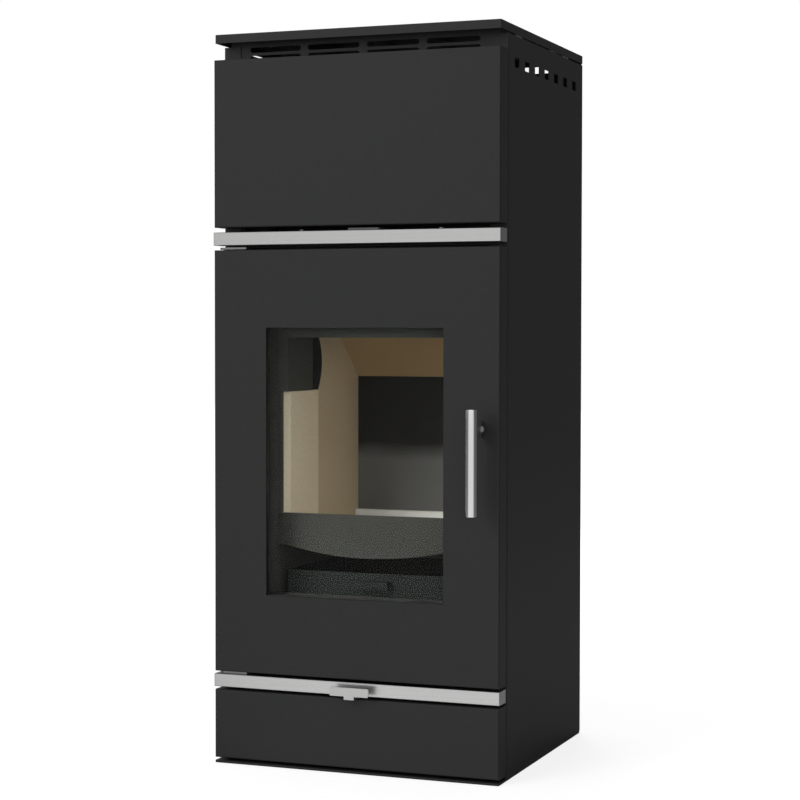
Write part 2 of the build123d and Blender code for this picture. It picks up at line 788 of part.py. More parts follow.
# Air box under the firebox, and the pipe that feeds it from the back
lever_clear = 0.6
lower_slide_z1 = lower_trim_z - lever_clear
lower_slide_z0 = lower_slide_z1 - slide_t
air_box_z = lower_slide_z1 + slide_fit
air_box_x = 95.0
air_box_t = 2.0
air_box_d0 = 76.0
air_step_d = 190.0
air_box_d1 = 262.0
air_box_low = 4.0
air_box_low_z = air_z - air_r - air_box_low
hole_l = 36.0
hole_w = 16.0
hole_x = 38.0
hole_d = 116.0
primary_pin_x = 78.0
with BuildPart() as air_box:
    block(-air_box_x, air_box_x, air_box_d0, air_box_d1, air_box_z, ash_floor_z)
    block(-air_box_x, air_box_x, air_step_d, air_box_d1, air_box_low_z, ash_floor_z)
    inner_x = air_box_x - air_box_t
    block(-inner_x, inner_x, air_box_d0 + air_box_t, air_box_d1 - air_box_t,
          air_box_z + air_box_t, ash_floor_z, Mode.SUBTRACT)
    block(-inner_x, inner_x, air_step_d + air_box_t, air_box_d1 - air_box_t,
          air_box_low_z + air_box_t, ash_floor_z, Mode.SUBTRACT)
    rod(0, air_z, air_box_d1 - air_box_t, air_box_d1, air_r - neck_step + tube_fit, Mode.SUBTRACT)
    with BuildSketch(Plane.XY.offset(air_box_z)):
        with Locations((0, back(hole_d))):
            with GridLocations(2 * hole_x, 1, 2, 1):
                Rectangle(hole_l, hole_w)
    extrude(amount=air_box_t, mode=Mode.SUBTRACT)
save(air_box, "air_box")

with BuildPart() as air_inlet_pipe:
    pipe_end(0, air_z, air_box_d1 - air_box_t, air_reach, air_r, air_r - air_t)
save(air_inlet_pipe, "air_inlet_pipe")

# Primary air slide: a plate under the air box with a bent lever in front of the trim
slide_d0 = 92.0
slide_d1 = 140.0
grip_rise = 15.0
grip_round = 2.0
lower_slide_end = 12.0
grip_z1 = lower_trim_z + grip_rise
with BuildPart() as primary_air_slide:
    reach = primary_pin_x + primary_travel / 2 + lower_slide_end
    block(-reach, reach, slide_d0, slide_d1, lower_slide_z0, lower_slide_z1)
    block(-stem_w / 2, stem_w / 2, -grip_reach, slide_d0 + slide_t, lower_slide_z0, lower_slide_z1)
    block(-stem_w / 2, stem_w / 2, -grip_reach, -grip_reach + slide_t,
          lower_slide_z0, grip_z1)
    with BuildSketch(Plane.XZ.offset(-back(-grip_reach + slide_t))):
        with Locations((0, grip_z1 - grip_h / 2)):
            RectangleRounded(grip_w, grip_h, grip_round)
    extrude(amount=slide_t)
    with BuildSketch(Plane.XY.offset(lower_slide_z0)):
        with Locations((primary_travel / 2, back(hole_d))):
            with GridLocations(2 * hole_x, 1, 2, 1):
                Rectangle(hole_l, hole_w)
        with Locations((0, back(hole_d))):
            with GridLocations(2 * primary_pin_x, 1, 2, 1):
                SlotOverall(primary_travel + 2 * slide_slot, 2 * slide_slot)
    extrude(amount=slide_t, mode=Mode.SUBTRACT)
save(primary_air_slide, "primary_air_slide")

# Headed pins that guide both slides in their long holes
with BuildPart() as slide_pins:
    for x in (-secondary_pin_x, secondary_pin_x):
        neck_z = upper_slide_z + slide_t + fit_gap
        post(x, duct_mid_d, duct_z1, neck_z, slide_pin_r)
        post(x, duct_mid_d, neck_z, neck_z + head_t, slide_pin_r + head_over)
    for x in (-primary_pin_x, primary_pin_x):
        neck_z = lower_slide_z0 - fit_gap
        post(x, hole_d, neck_z, air_box_z, slide_pin_r)
        post(x, hole_d, neck_z - head_t, neck_z, slide_pin_r + head_over)
save(slide_pins, "slide_pins")

# Legs: folded channels that carry the boiler on the base plate
leg_w = 40.0
leg_t = 3.0
leg_d0 = 80.0
leg_inset = 10.0
leg_d1 = shell_out_d - leg_inset


def boiler_leg(side):
    far = side * shell_out_x
    near = side * (shell_out_x - leg_w)
    block(min(far, near), max(far, near), leg_d0, leg_d1, base_t, ash_floor_z)
    block(min(far - side * leg_t, near), max(far - side * leg_t, near), leg_d0, leg_d1,
          base_t + leg_t, ash_floor_z - leg_t, Mode.SUBTRACT)


with BuildPart() as boiler_legs:
    boiler_leg(-1)
    boiler_leg(1)
save(boiler_legs, "boiler_legs")

# Hearth support, slab and grate
support_z = hearth_z - slab_t - support_t
grate_shift = 10.0
grate_d = lining_d + lining_depth / 2 - grate_shift
grate_x = grate_w / 2
grate_d0 = grate_d - grate_l / 2
grate_d1 = grate_d + grate_l / 2
grate_ledge = 10.0
grate_fit = 1.0
guard_fit = 0.5
guard_d0 = shell_d + guard_fit
guard_d1 = guard_d0 + guard_t
with BuildPart() as hearth_support:
    block(-shell_x, shell_x, guard_d1, shell_rear_d, support_z, support_z + support_t)
    block(-grate_x + grate_ledge, grate_x - grate_ledge, grate_d0 + grate_ledge,
          grate_d1 - grate_ledge, support_z, support_z + support_t, Mode.SUBTRACT)
save(hearth_support, "hearth_support")

slab_drop = 18.7
ledge_l = 12.0
slab_z1 = hearth_z - slab_drop
with BuildPart() as hearth_slab:
    block(-shell_x, shell_x, lining_d, shell_rear_d, support_z + support_t, slab_z1)
    block(-lining_w / 2, lining_w / 2, lining_rear_d - ledge_l, lining_rear_d, slab_z1, hearth_z)
    block(-shell_x, shell_x, lining_rear_d, shell_rear_d, slab_z1, hearth_z)
    block(-grate_x - grate_fit, grate_x + grate_fit, grate_d0 - grate_fit, grate_d1 + grate_fit,
          support_z + support_t, hearth_z, Mode.SUBTRACT)
save(hearth_slab, "hearth_slab")

grate_slot_w = 8.0
grate_rim = 14.0
with BuildPart() as grate:
    block(-grate_x, grate_x, grate_d0, grate_d1, support_z + support_t,
          support_z + support_t + grate_t)
    with BuildSketch(Plane.XY.offset(support_z + support_t)):
        with Locations((0, back(grate_d))):
            pitch = (grate_w - 2 * grate_rim - grate_slot_w) / (grate_slots - 1)
            with GridLocations(pitch, 1, grate_slots, 1):
                SlotOverall(grate_l - 2 * grate_rim, grate_slot_w, rotation=90)
    extrude(amount=grate_t, mode=Mode.SUBTRACT)
save(grate, "grate")

# Cast guard in front of the fire: straight on top, curved below
guard_z1 = hearth_z + guard_rise
guard_x = shell_x - guard_fit
with BuildPart() as log_guard:
    with BuildSketch(Plane.XZ.offset(-back(guard_d1))):
        with BuildLine():
            Polyline((-guard_x, guard_z1 - guard_end_h), (-guard_x, guard_z1),
                     (guard_x, guard_z1), (guard_x, guard_z1 - guard_end_h))
            ThreePointArc((guard_x, guard_z1 - guard_end_h), (0, guard_z1 - guard_mid_h),
                          (-guard_x, guard_z1 - guard_end_h))
        make_face()
    extrude(amount=guard_t)
save(log_guard, "log_guard")


def front_brick(side):
    x0 = min(side * lining_w / 2, side * shell_x)
    block(x0, x0 + brick_t, lining_d, lining_d + front_brick_l, slab_z1, brick_z1)


with BuildPart() as left_front_brick:
    front_brick(-1)
save(left_front_brick, "left_front_brick")

with BuildPart() as right_front_brick:
    front_brick(1)
save(right_front_brick, "right_front_brick")

# Rear side bricks: leaning front edge, sloped top that carries the baffle
rear_brick_d0 = lining_d + front_brick_l + brick_joint
baffle_z = hearth_z + baffle_rise
rear_top_z = hearth_z + rear_brick_h
knee_rise = 2.0
neck_rise = 38.0
neck_back = 15.0
slope = math.tan(math.radians(baffle_angle))
slope_d = lining_rear_d - (rear_top_z - baffle_z) / slope


def rear_brick(side):
    x0 = min(side * lining_w / 2, side * shell_x)
    knee_z = brick_z1 + knee_rise
    with BuildSketch(Plane.YZ.offset(x0)) as profile:
        with BuildLine():
            Polyline((back(rear_brick_d0), knee_z), (back(rear_brick_d0), slab_z1),
                     (back(lining_rear_d), slab_z1), (back(lining_rear_d), baffle_z),
                     (back(slope_d), rear_top_z),
                     (back(rear_brick_d0 - rear_brick_lean), rear_top_z))
            Spline((back(rear_brick_d0), knee_z),
                   (back(rear_brick_d0 + neck_back), knee_z + neck_rise),
                   (back(rear_brick_d0 - rear_brick_lean), rear_top_z))
        make_face()
    extrude(profile.sketch, amount=brick_t)


with BuildPart() as left_rear_brick:
    rear_brick(-1)
save(left_rear_brick, "left_rear_brick")

with BuildPart() as right_rear_brick:
    rear_brick(1)
save(right_rear_brick, "right_rear_brick")

# Cast rear plate with two ribs
rib_h = 5.0
rib_proud = 3.0
rib_rises = (175.0, 214.0)
rib_inset = 4.0
rear_plate_over = 60.0
with BuildPart() as rear_plate:
    block(-guard_x, guard_x, lining_rear_d, shell_rear_d, hearth_z, baffle_z + rear_plate_over)
    for rise in rib_rises:
        block(-lining_w / 2 + rib_inset, lining_w / 2 - rib_inset, lining_rear_d - rib_proud,
              lining_rear_d, hearth_z + rise, hearth_z + rise + rib_h)
save(rear_plate, "rear_plate")

# Baffle: a sloped slab that rests on the rear bricks
baffle_side = 2.0
baffle_x = shell_x - baffle_side
cos_a = math.cos(math.radians(baffle_angle))
sin_a = math.sin(math.radians(baffle_angle))
with BuildPart() as baffle_plate:
    with BuildSketch(Plane.YZ.offset(-baffle_x)):
        with BuildLine():
            low = (back(lining_rear_d), baffle_z)
            high = (low[0] - baffle_l * cos_a, low[1] + baffle_l * sin_a)
            high_top = (high[0] + baffle_t * sin_a, high[1] + baffle_t * cos_a)
            low_top = (low[0], low[1] + baffle_t / cos_a)
            Polyline(low, high, high_top, low_top, close=True)
        make_face()
    extrude(amount=2 * baffle_x)
save(baffle_plate, "baffle_plate")

# Ash pan with a bail handle at its front
ash_w = 300.0
ash_d0 = 84.0
ash_clear = 42.0
ash_l = shell_rear_d - ash_d0 - ash_clear
ash_h = 92.0
ash_t = 1.5
ash_round = 6.0
ash_grip_w = 60.0
ash_grip_d = 16.0
ash_grip_t = 2.0
ash_grip_drop = 12.0
ash_grip_h = 12.0
ash_z = ash_floor_z + shell_t
with BuildPart() as ash_pan:
    block(-ash_w / 2, ash_w / 2, ash_d0, ash_d0 + ash_l, ash_z, ash_z + ash_h)
    fillet(ash_pan.edges().filter_by(Axis.Z), radius=ash_round)
    offset(amount=-ash_t, openings=ash_pan.faces().sort_by(Axis.Z)[-1])
    grip_top = ash_z + ash_h - ash_grip_drop
    block(-ash_grip_w / 2, ash_grip_w / 2, ash_d0 - ash_grip_d, ash_d0 + ash_t / 2,
          grip_top - ash_grip_t, grip_top)
    block(-ash_grip_w / 2, ash_grip_w / 2, ash_d0 - ash_grip_d, ash_d0 - ash_grip_d + ash_grip_t,
          grip_top - ash_grip_h, grip_top)
save(ash_pan, "ash_pan")

# Door: outer panel with the window and its reveal
door_x = body_w / 2
door_z1 = door_z + door_h
window_z1 = window_z + window_h
handle_x = body_w / 2 - handle_inset
handle_z = door_z + handle_rise
post_r = 6.0
screw_r = 3.0
post_gap = 1.7
screw_x = window_w / 2 + glass_lap + post_r + post_gap
screw_over = 13.0
screw_head_h = 3.0
screw_head_over = 2.4
screw_start = 5.0
bore_start = 4.0
cut_over = 1.0
screw_levels = [window_z - screw_over, (window_z + window_z1) / 2, window_z1 + screw_over]


def window_block(grow, d0, d1, mode=Mode.ADD):
    block(-window_w / 2 - grow, window_w / 2 + grow, d0, d1, window_z - grow,
          window_z1 + grow, mode)


with BuildPart() as door_panel:
    pan(door_panel, door_x, 0, panel_depth, door_z, door_z1, panel_sheet, bend)
    window_block(panel_sheet, panel_sheet / 2, reveal_depth)
    window_block(0, -cut_over, reveal_depth + cut_over, Mode.SUBTRACT)
    rod(handle_x, handle_z, -cut_over, panel_sheet + cut_over, shaft_r + fit_gap, Mode.SUBTRACT)
    for x in (-screw_x, screw_x):
        for z in screw_levels:
            rod(x, z, panel_sheet / 2, door_frame_d, post_r)
            rod(x, z, bore_start, door_frame_d, screw_r + tube_fit, Mode.SUBTRACT)
    for z in (door_z + panel_sheet / 2, door_z1 - panel_sheet / 2):
        post(-door_x + pivot_inset, pivot_depth, z - panel_sheet, z + panel_sheet,
             pin_r + 1.0, Mode.SUBTRACT)
save(door_panel, "door_panel")

with BuildPart() as door_glass:
    window_block(glass_lap, glass_d, glass_d + glass_t)
save(door_glass, "door_glass")

with BuildPart() as glass_seal:
    window_block(glass_lap, glass_d + glass_t, door_frame_d)
    window_block(1.0, glass_d + glass_t, door_frame_d, Mode.SUBTRACT)
save(glass_seal, "glass_seal")

# Inner door frame with the groove for the rope seal
frame_over = handle_x - bearing_w / 2 - frame_bearing_gap - window_w / 2
with BuildPart() as door_frame:
    window_block(frame_over, door_frame_d, door_frame_back)
    window_block(0, door_frame_d, door_frame_back, Mode.SUBTRACT)
    groove_d = door_frame_back - rope_groove
    outer_grow = frame_over - rope_inset
    with BuildSketch(Plane.XZ.offset(-back(groove_d))):
        with Locations((0, (window_z + window_z1) / 2)):
            Rectangle(window_w + 2 * outer_grow, window_h + 2 * outer_grow)
            Rectangle(window_w + 2 * outer_grow - 2 * rope_w,
                      window_h + 2 * outer_grow - 2 * rope_w, mode=Mode.SUBTRACT)
    extrude(amount=-rope_groove, mode=Mode.SUBTRACT)
    for x in (-screw_x, screw_x):
        for z in screw_levels:
            rod(x, z, door_frame_d, door_frame_back, screw_r + tube_fit, Mode.SUBTRACT)
save(door_frame, "door_frame")

rope_fit = 0.2
rope_corner = 3.0
rope_round = 2.5
rope_out = outer_grow - rope_fit
rope_in = outer_grow - rope_w + rope_fit
with BuildPart() as door_seal:
    with BuildSketch(Plane.XZ.offset(-back(groove_d))):
        with Locations((0, (window_z + window_z1) / 2)):
            RectangleRounded(window_w + 2 * rope_out, window_h + 2 * rope_out, rope_corner)
            Rectangle(window_w + 2 * rope_in, window_h + 2 * rope_in, mode=Mode.SUBTRACT)
    extrude(amount=-(front_plate_d - fit_gap - groove_d))
    fillet(door_seal.faces().sort_by(Axis.Y)[-1].edges(), radius=rope_round)
save(door_seal, "door_seal")

with BuildPart() as door_frame_screws:
    for x in (-screw_x, screw_x):
        for z in screw_levels:
            rod(x, z, screw_start, door_frame_back, screw_r)
            rod(x, z, door_frame_back, door_frame_back + screw_head_h, screw_r + screw_head_over)
save(door_frame_screws, "door_frame_screws")

# Hinge blocks in the door panel, and the pins and plates they turn on
hinge_x = -door_x + pivot_inset
block_setback = 4.0
pin_free = 2.0
hinge_eye_r = 9.0
hinge_setback = 1.0
block_x0 = -door_x + panel_sheet
block_z = (door_z + panel_sheet, door_z1 - panel_sheet - hinge_block_h)
with BuildPart() as door_hinge_blocks:
    for z in block_z:
        block(block_x0, block_x0 + hinge_block_w, panel_sheet, panel_depth - block_setback,
              z, z + hinge_block_h)
        post(hinge_x, pivot_depth, z, z + hinge_block_h, pin_r + pin_fit, Mode.SUBTRACT)
save(door_hinge_blocks, "door_hinge_blocks")

neck_gap = 0.5
neck_x = -body_w / 2 + flange_w + neck_gap
neck_w = 22.0


def hinge_plate(z0, pin_z0, pin_z1):
    """A plate that reaches forward from a cross rail, with its upright pin."""
    block(hinge_x, neck_x + neck_w, pivot_depth - hinge_eye_r, casing_d - hinge_setback,
          z0, z0 + hinge_plate_t)
    block(neck_x, neck_x + neck_w, pivot_depth, front_plate_d, z0, z0 + hinge_plate_t)
    post(hinge_x, pivot_depth, z0, z0 + hinge_plate_t, hinge_eye_r)
    post(hinge_x, pivot_depth, pin_z0, pin_z1, pin_r)


lower_hinge_z = lower_trim_z + trim_h
upper_hinge_z = upper_trim_z - hinge_plate_t - rail_drop
washer_r = 8.0
with BuildPart() as hinge_pins:
    hinge_plate(lower_hinge_z, lower_hinge_z, block_z[0] + hinge_block_h - pin_free)
    hinge_plate(upper_hinge_z, block_z[1] + pin_free, upper_hinge_z + hinge_plate_t)
save(hinge_pins, "hinge_pins")

washer_z = lower_hinge_z + hinge_plate_t
with BuildPart() as hinge_washer:
    post(hinge_x, pivot_depth, washer_z, washer_z + hinge_washer_t, washer_r)
    post(hinge_x, pivot_depth, washer_z, washer_z + hinge_washer_t, pin_r + pin_fit, Mode.SUBTRACT)
save(hinge_washer, "hinge_washer")

# Handle: round bar on a flat lug, on a shaft that turns in its bearing
bar_z0 = handle_z + handle_above - handle_bar_l
with BuildPart() as handle_bar:
    post(handle_x, -handle_reach, bar_z0, bar_z0 + handle_bar_l, handle_bar_r)
    fillet(handle_bar.edges().filter_by(GeomType.CIRCLE), radius=bar_round)
save(handle_bar, "handle_bar")

lug_gap = 3.0
lug_d1 = -lug_gap
with BuildPart() as handle_lug:
    block(handle_x - lug_t / 2, handle_x + lug_t / 2, -handle_reach, lug_d1,
          handle_z - lug_h / 2, handle_z + lug_h / 2)
    post(handle_x, -handle_reach, handle_z - lug_h, handle_z + lug_h, handle_bar_r,
         Mode.SUBTRACT)
save(handle_lug, "handle_lug")

hook_d = panel_depth - hook_inset
with BuildPart() as handle_shaft:
    rod(handle_x, handle_z, lug_d1, hook_d + hook_t, shaft_r)
save(handle_shaft, "handle_shaft")

with BuildPart() as handle_bearing:
    block(handle_x - bearing_w / 2, handle_x + bearing_w / 2, panel_sheet, hook_d - fit_gap,
          handle_z - bearing_h / 2, handle_z + bearing_h / 2)
    rod(handle_x, handle_z, panel_sheet, hook_d - fit_gap, shaft_r + pin_fit, Mode.SUBTRACT)
save(handle_bearing, "handle_bearing")

with BuildPart() as latch_hook:
    rod(handle_x, handle_z, hook_d, hook_d + hook_t, shaft_r + hook_rim)
    block(handle_x, handle_x + hook_l, hook_d, hook_d + hook_t,
          handle_z - hook_h / 2, handle_z + hook_h / 2)
    rod(handle_x, handle_z, hook_d, hook_d + hook_t, shaft_r, Mode.SUBTRACT)
save(latch_hook, "latch_hook")

# Catch on the flange of the right side panel
catch_gap = 2.0
catch_x1 = body_w / 2 - panel_sheet - catch_gap
catch_lip_d = hook_d - fit_gap - catch_t
catch_h = 30.0
with BuildPart() as latch_catch:
    block(catch_x1 - catch_w, catch_x1, casing_d - catch_t, casing_d,
          handle_z - catch_h / 2, handle_z + catch_h / 2)
    block(catch_x1 - catch_t, catch_x1, catch_lip_d, casing_d,
          handle_z - catch_h / 2, handle_z + catch_h / 2)
    block(catch_x1 - catch_lip, catch_x1, catch_lip_d, catch_lip_d + catch_t,
          handle_z - catch_h / 2, handle_z + catch_h / 2)
save(latch_catch, "latch_catch")
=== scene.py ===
import math
import random

import bpy
from mathutils import Matrix, Vector


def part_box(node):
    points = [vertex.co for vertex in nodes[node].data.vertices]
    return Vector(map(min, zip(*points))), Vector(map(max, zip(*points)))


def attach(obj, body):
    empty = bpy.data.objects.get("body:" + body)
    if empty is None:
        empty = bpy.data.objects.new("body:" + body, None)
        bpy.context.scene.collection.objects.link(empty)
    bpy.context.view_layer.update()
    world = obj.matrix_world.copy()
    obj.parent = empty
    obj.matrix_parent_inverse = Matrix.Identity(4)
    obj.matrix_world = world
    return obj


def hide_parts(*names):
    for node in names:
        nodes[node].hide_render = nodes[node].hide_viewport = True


random.seed(7)
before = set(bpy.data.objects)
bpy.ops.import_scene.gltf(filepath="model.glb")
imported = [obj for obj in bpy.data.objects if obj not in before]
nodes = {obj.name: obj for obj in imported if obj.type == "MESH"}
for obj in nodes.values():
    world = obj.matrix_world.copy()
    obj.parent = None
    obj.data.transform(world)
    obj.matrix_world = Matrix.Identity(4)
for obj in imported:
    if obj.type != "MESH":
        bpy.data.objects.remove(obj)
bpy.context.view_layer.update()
scene = bpy.context.scene


# Node materials

class Shader:
    """A node material, built up call by call."""

    def __init__(self, name):
        self.material = bpy.data.materials.new(name)
        self.material.use_nodes = True
        self.tree = self.material.node_tree
        self.tree.nodes.clear()
        self.output = self.node("ShaderNodeOutputMaterial")
        self.surface = self.node("ShaderNodeBsdfPrincipled")
        self.link(self.surface.outputs["BSDF"], self.output.inputs["Surface"])
        self.place = self.node("ShaderNodeTexCoord").outputs["Object"]

    def node(self, kind, **settings):
        made = self.tree.nodes.new(kind)
        for key, value in settings.items():
            setattr(made, key, value)
        return made

    def link(self, source, target):
        self.tree.links.new(source, target)

    def set(self, **values):
        """Uniform numbers and colours go on the shader's own sockets."""
        for key, value in values.items():
            self.surface.inputs[key.replace("_", " ")].default_value = value

    def stretch(self, x, y, z):
        made = self.node("ShaderNodeMapping")
        made.inputs["Scale"].default_value = (x, y, z)
        self.link(self.place, made.inputs["Vector"])
        return made.outputs["Vector"]

    def noise(self, scale, detail=4.0, rough=0.55, where=None):
        made = self.node("ShaderNodeTexNoise")
        made.inputs["Scale"].default_value = scale
        made.inputs["Detail"].default_value = detail
        made.inputs["Roughness"].default_value = rough
        self.link(where or self.place, made.inputs["Vector"])
        return made.outputs["Fac"]

    def cells(self, scale, where=None):
        made = self.node("ShaderNodeTexVoronoi")
        made.inputs["Scale"].default_value = scale
        self.link(where or self.place, made.inputs["Vector"])
        return made.outputs

    def ramp(self, factor, *stops):
        """stops are (position, colour or grey value)."""
        made = self.node("ShaderNodeValToRGB")
        points = made.color_ramp.elements
        while len(points) < len(stops):
            points.new(0.5)
        for point, (position, value) in zip(points, stops):
            point.position = position
            point.color = (*value, 1) if hasattr(value, "__len__") else (value, value, value, 1)
        self.link(factor, made.inputs["Fac"])
        return made.outputs["Color"]

    def mix(self, factor, a, b, blend="MIX"):
        """The colour sockets of a Mix node are inputs 6 and 7 and output 2."""
        made = self.node("ShaderNodeMix", data_type="RGBA", blend_type=blend)
        if isinstance(factor, float):
            made.inputs["Factor"].default_value = factor
        else:
            self.link(factor, made.inputs["Factor"])
        for source, index in ((a, 6), (b, 7)):
            if hasattr(source, "__len__"):
                made.inputs[index].default_value = (*source, 1)
            else:
                self.link(source, made.inputs[index])
        return made.outputs[2]

    def maths(self, kind, a, b=0.0):
        made = self.node("ShaderNodeMath", operation=kind)
        for source, socket in ((a, made.inputs[0]), (b, made.inputs[1])):
            if isinstance(source, (int, float)):
                socket.default_value = source
            else:
                self.link(source, socket)
        return made.outputs[0]

    def axis(self, name):
        made = self.node("ShaderNodeSeparateXYZ")
        self.link(self.place, made.inputs[0])
        return made.outputs[name]

    def colour(self, source):
        self.link(source, self.surface.inputs["Base Color"])

    def rough(self, source):
        self.link(source, self.surface.inputs["Roughness"])

    def bump(self, height, distance, strength=1.0):
        made = self.node("ShaderNodeBump")
        made.inputs["Distance"].default_value = distance
        made.inputs["Strength"].default_value = strength
        self.link(height, made.inputs["Height"])
        self.link(made.outputs["Normal"], self.surface.inputs["Normal"])


def coated_steel(name, dark, light, roughness=(0.46, 0.49)):
    """Satin powder coat: fine orange peel, slight tone drift."""
    s = Shader(name)
    s.set(IOR=1.33, Metallic=0.0)
    s.colour(s.ramp(s.noise(160.0, 4.0), (0.3, dark), (0.7, light)))
    s.rough(s.ramp(s.noise(300.0, 3.0), (0.3, roughness[0]), (0.7, roughness[1])))
    s.bump(s.noise(1500.0, 2.0), 0.00003, 0.5)
    return s.material


def brushed(name, base, along, roughness=(0.24, 0.42), wear=0.08):
    """Ground steel with fine lines along one axis."""
    s = Shader(name)
    s.set(Metallic=1.0, Anisotropic=0.35)
    scale = {"x": (6, 900, 900), "y": (900, 6, 900), "z": (900, 900, 6)}[along]
    lines = s.noise(1.0, 3.0, 0.6, s.stretch(*scale))
    low = tuple(c * (1 - wear) for c in base)
    high = tuple(min(1.0, c * (1 + wear)) for c in base)
    s.colour(s.ramp(lines, (0.3, low), (0.7, high)))
    s.rough(s.ramp(lines, (0.25, roughness[0]), (0.75, roughness[1])))
    s.bump(lines, 0.00004, 0.35)
    return s.material


def cast(name, dark, light, grain=140.0, depth=0.0006, roughness=(0.62, 0.85)):
    """Sand-cast or welded and painted plate: pitted, matt."""
    s = Shader(name)
    s.set(IOR=1.4, Specular_IOR_Level=0.05)
    coarse = s.noise(grain, 6.0, 0.62)
    s.colour(s.ramp(s.mix(0.5, s.ramp(coarse, (0.2, 0.0), (0.8, 1.0)),
                          s.ramp(s.noise(7.0, 4.0), (0.3, 0.0), (0.7, 1.0))), (0.2, dark), (0.85, light)))
    s.rough(s.ramp(coarse, (0.3, roughness[0]), (0.7, roughness[1])))
    s.bump(coarse, depth, 0.6)
    return s.material


def shaded_height_cast(name, span, low_shade, high_shade):
    """Cast plate painted pale grey below and near-black above, as painted light and shade by height."""
    s = Shader(name)
    s.set(IOR=1.4, Specular_IOR_Level=0.1)
    coarse = s.noise(120.0, 5.0)
    # Painted light and shade: the tone runs from pale grey low on the plate to near-black above the span.
    edge = s.maths("ADD", s.axis("Z"), s.maths("MULTIPLY", s.noise(14.0), 0.012))
    share = s.maths("DIVIDE", s.maths("SUBTRACT", edge, span[0]), span[1] - span[0])
    tone = s.ramp(share, (0.0, low_shade), (1.0, high_shade))
    s.colour(s.mix(0.5, tone, s.ramp(coarse, (0.3, 0.7), (0.7, 1.0)), "MULTIPLY"))
    s.rough(s.ramp(coarse, (0.3, 0.7), (0.7, 0.9)))
    s.bump(coarse, 0.0002, 0.5)
    return s.material


def vermiculite(name, pale, tan, fleck, shade_z=0.0):
    """Pressed vermiculite: pale board with golden flakes and small pits; faces looking forward above the
    given height are painted near-black as shade.
    """
    s = Shader(name)
    s.set(IOR=1.4, Specular_IOR_Level=0.2)
    flakes = s.cells(420.0, s.stretch(1.0, 1.0, 1.6))
    grain = s.noise(260.0, 6.0, 0.7)
    body = s.mix(s.noise(6.0, 5.0, 0.6), pale, tan)
    spots = s.ramp(flakes["Distance"], (0.0, 1.0), (0.28, 0.0))
    chance = s.ramp(flakes["Color"], (0.62, 0.0), (0.7, 1.0))
    body = s.mix(s.mix(1.0, spots, chance, "MULTIPLY"), body, fleck)
    body = s.mix(0.35, body, s.ramp(grain, (0.3, 0.62), (0.65, 1.0)), "MULTIPLY")
    # Painted shade: faces looking forward above the given height are turned near-black.
    if shade_z:
        facing = s.node("ShaderNodeSeparateXYZ")
        s.link(s.node("ShaderNodeTexCoord").outputs["Normal"], facing.inputs[0])
        front = s.maths("LESS_THAN", facing.outputs["Y"], -0.3)
        high = s.maths("GREATER_THAN", s.axis("Z"), shade_z)
        body = s.mix(s.maths("MULTIPLY", front, high), body, (0.014, 0.015, 0.013))
    s.colour(body)
    s.rough(s.ramp(grain, (0.3, 0.78), (0.7, 0.95)))
    s.bump(grain, 0.0005, 0.5)
    return s.material


def stone(name, base, shade):
    s = Shader(name)
    s.set(IOR=1.45, Specular_IOR_Level=0.3)
    grain = s.noise(180.0, 8.0, 0.65)
    s.colour(s.mix(s.ramp(grain, (0.35, 0.0), (0.7, 1.0)), shade, base))
    s.rough(s.ramp(s.noise(40.0), (0.3, 0.7), (0.7, 0.9)))
    s.bump(grain, 0.0003, 0.4)
    return s.material


def clear_glass(name):
    s = Shader(name)
    s.set(Transmission_Weight=1.0, IOR=1.12, Roughness=0.0)
    s.colour(s.ramp(s.noise(5.0, 2.0), (0.3, (0.92, 0.93, 0.91)), (0.7, (0.94, 0.95, 0.93))))
    return s.material


def fibre(name, dark, light, scale, depth=0.0008):
    """Braided or matted fibre."""
    s = Shader(name)
    s.set(IOR=1.4, Specular_IOR_Level=0.15, Sheen_Weight=0.2)
    strands = s.noise(scale, 6.0, 0.75)
    s.colour(s.ramp(strands, (0.25, dark), (0.75, light)))
    s.rough(s.ramp(strands, (0.3, 0.85), (0.7, 1.0)))
    s.bump(strands, depth, 0.7)
    return s.material


# Heights in metres: the rear plate goes from pale grey below to near-black above over the first, as painted
# light and shade, and the rear bricks' front faces are painted near-black as shade above the second, just
# over the front bricks
shade_span = (0.47, 0.50)
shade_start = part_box("left_front_brick")[1].z + 0.0008

paint = coated_steel("black_powder_coat", (0.0265, 0.0268, 0.0272), (0.0295, 0.0298, 0.0302))
# Painted light: the slide tab is black like the panels; its lighter grey stands for the light on it.
tab_painted_light = coated_steel("slide_tab_painted_light", (0.110, 0.110, 0.111), (0.130, 0.130, 0.131))
back_paint = coated_steel("black_back_sheet", (0.018, 0.0183, 0.0187), (0.023, 0.0233, 0.0237), (0.5, 0.62))
trim_steel = brushed("trim_brushed_steel", (0.60, 0.60, 0.595), "x")
lever_steel = brushed("lever_brushed_steel", (0.56, 0.56, 0.555), "x", (0.3, 0.45))
bar_steel = brushed("handle_satin_steel", (0.84, 0.84, 0.84), "z", (0.05, 0.08), 0.04)
plain_steel = brushed("plain_steel", (0.34, 0.34, 0.345), "z", (0.35, 0.55), 0.15)
zinc = brushed("zinc_plated_steel", (0.52, 0.53, 0.55), "y", (0.25, 0.4), 0.1)
boiler_paint = cast("boiler_primer", (0.040, 0.040, 0.041), (0.075, 0.075, 0.075), 60.0, 0.0003)
heat_paint = cast("heat_paint", (0.060, 0.063, 0.057), (0.070, 0.073, 0.067), 90.0, 0.00003)
ash_sheet = cast("ash_pan_sheet", (0.020, 0.023, 0.022), (0.026, 0.029, 0.028), 70.0, 0.00003)
iron = cast("cast_iron_paint", (0.040, 0.041, 0.039), (0.060, 0.061, 0.058), 140.0, 0.0003)
back_iron = shaded_height_cast("rear_plate_paint", shade_span, (0.160, 0.160, 0.158), (0.020, 0.020, 0.019))
